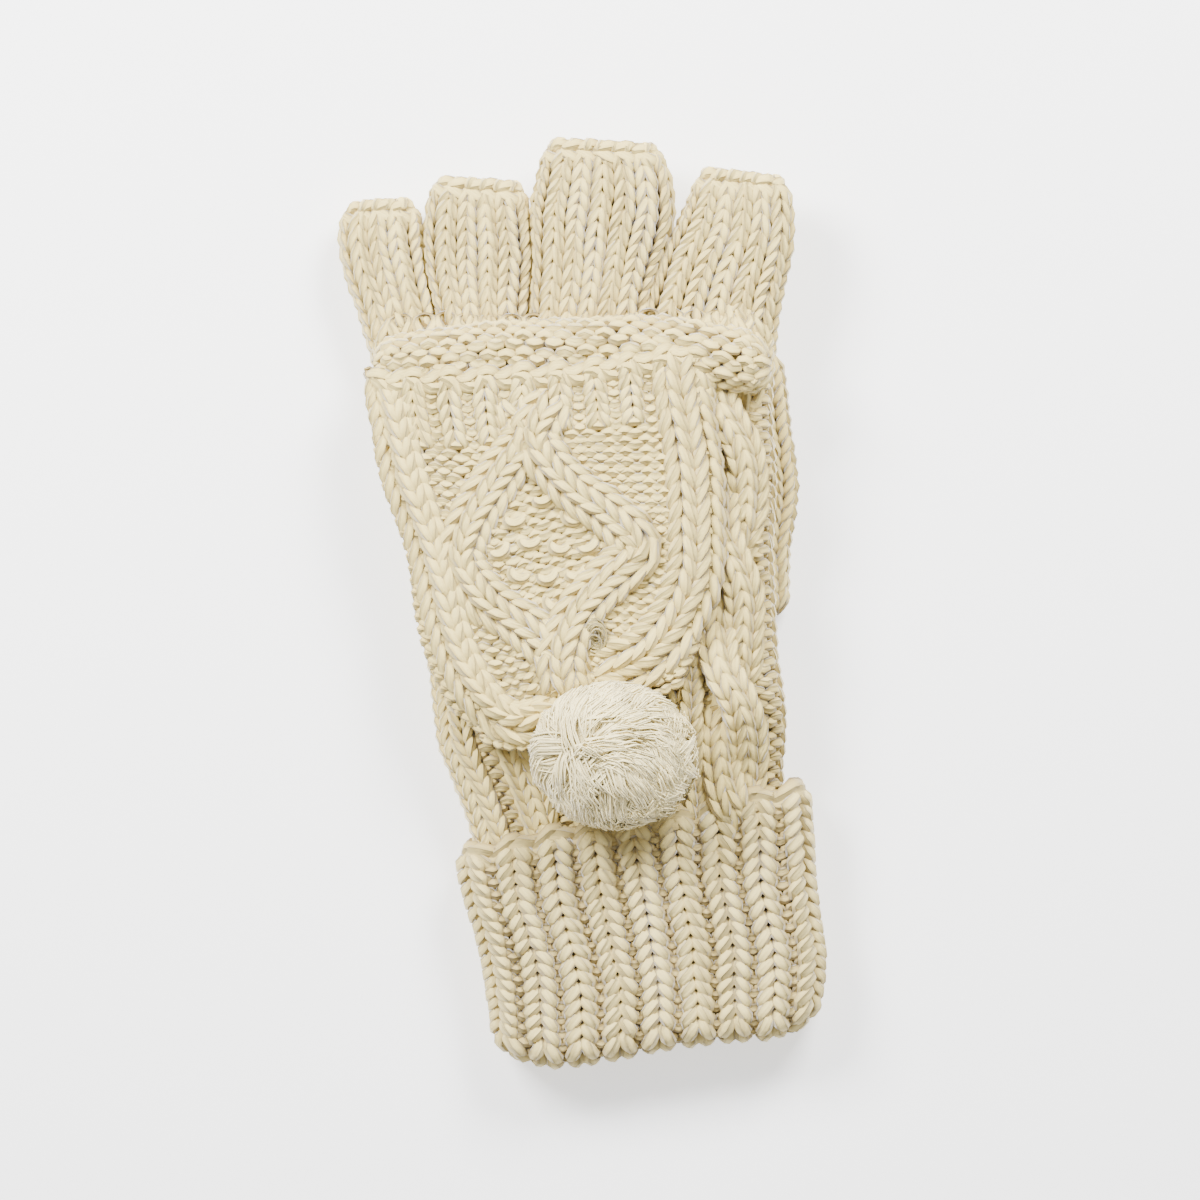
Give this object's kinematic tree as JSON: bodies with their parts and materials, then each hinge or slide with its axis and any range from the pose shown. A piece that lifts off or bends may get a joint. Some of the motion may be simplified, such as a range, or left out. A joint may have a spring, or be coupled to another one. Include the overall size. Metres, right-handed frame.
{
  "type": "convertible knitted glove",
  "caption": "Chunky cable-knit convertible glove for the left hand: open finger stubs, turned-back ribbed cuff, and a fold-back mitten flap that ends in a pompom.",
  "frame": {"origin": "on the table under the centre of the glove's bounding box", "axes": "+Y up the hand to the fingertips, +X to the thumb side, +Z out of the back of the hand, which faces up"},
  "size_m": [0.1248, 0.2482, 0.0524],
  "materials": {
    "knit_yarn": "matt",
    "seam_yarn": "matt",
    "pompom_yarn": "matt"
  },
  "bodies": {
    "hand": {"hand_back_panel": "knit_yarn", "hand_palm_panel": "knit_yarn", "side_seam_little_finger": "seam_yarn", "side_seam_thumb": "seam_yarn", "cuff_inner_rib": "knit_yarn", "crotch_stitch_1": "seam_yarn", "crotch_stitch_2": "seam_yarn", "crotch_stitch_3": "seam_yarn", "flap_root_fold": "knit_yarn", "flap_root_seam": "seam_yarn"},
    "cuff_turnback": {"cuff_turnback_rib": "knit_yarn"},
    "little_finger": {"little_finger_tube": "knit_yarn"},
    "ring_finger": {"ring_finger_tube": "knit_yarn"},
    "middle_finger": {"middle_finger_tube": "knit_yarn"},
    "index_finger": {"index_finger_tube": "knit_yarn"},
    "thumb": {"thumb_tube": "knit_yarn"},
    "flap": {"flap_back_panel": "knit_yarn", "flap_toe": "knit_yarn", "flap_toe_seam": "seam_yarn"},
    "flap_front": {"flap_front_panel": "knit_yarn", "flap_mouth_band": "knit_yarn"},
    "pompom": {"pompom": "pompom_yarn", "pompom_tie": "seam_yarn"}
  },
  "joints": [
    {"name": "flap_fold", "type": "hinge", "parent": "hand", "child": "flap", "pos_m": [-0.00147, 0.06757, 0.02752], "axis": [-0.9897, 0.1143, -0.0866], "range_deg": [0, 180]},
    {"name": "flap_mouth", "type": "hinge", "parent": "flap", "child": "flap_front", "pos_m": [-0.00186, -0.01913, 0.03201], "axis": [0.9962, 0, 0.0872], "range_deg": [0, 50]},
    {"name": "pompom_swing", "type": "hinge", "parent": "flap", "child": "pompom", "pos_m": [-0.00409, -0.02273, 0.03332], "axis": [-0.9962, 0, -0.0872], "range_deg": [0, 45]},
    {"name": "cuff_unroll", "type": "slide", "parent": "hand", "child": "cuff_turnback", "axis": [0, -1, 0], "range_m": [0, 0.062]},
    {"name": "little_finger_flex", "type": "hinge", "parent": "hand", "child": "little_finger", "pos_m": [-0.04871, 0.07709, 0.00532], "axis": [-0.9916, -0.0958, -0.0867], "range_deg": [0, 90]},
    {"name": "ring_finger_flex", "type": "hinge", "parent": "hand", "child": "ring_finger", "pos_m": [-0.0252, 0.07356, 0.00738], "axis": [-0.996, 0.0175, -0.0871], "range_deg": [0, 90]},
    {"name": "middle_finger_flex", "type": "hinge", "parent": "hand", "child": "middle_finger", "pos_m": [0.00388, 0.07019, 0.00992], "axis": [-0.9779, 0.1908, -0.0856], "range_deg": [0, 90]},
    {"name": "index_finger_flex", "type": "hinge", "parent": "hand", "child": "index_finger", "pos_m": [0.03726, 0.06815, 0.01284], "axis": [-0.9474, 0.309, -0.0829], "range_deg": [0, 90]},
    {"name": "thumb_swing", "type": "hinge", "parent": "hand", "child": "thumb", "pos_m": [0.03707, 0.00737, 0], "axis": [0, 0, -1], "range_deg": [0, 75]}
  ]
}
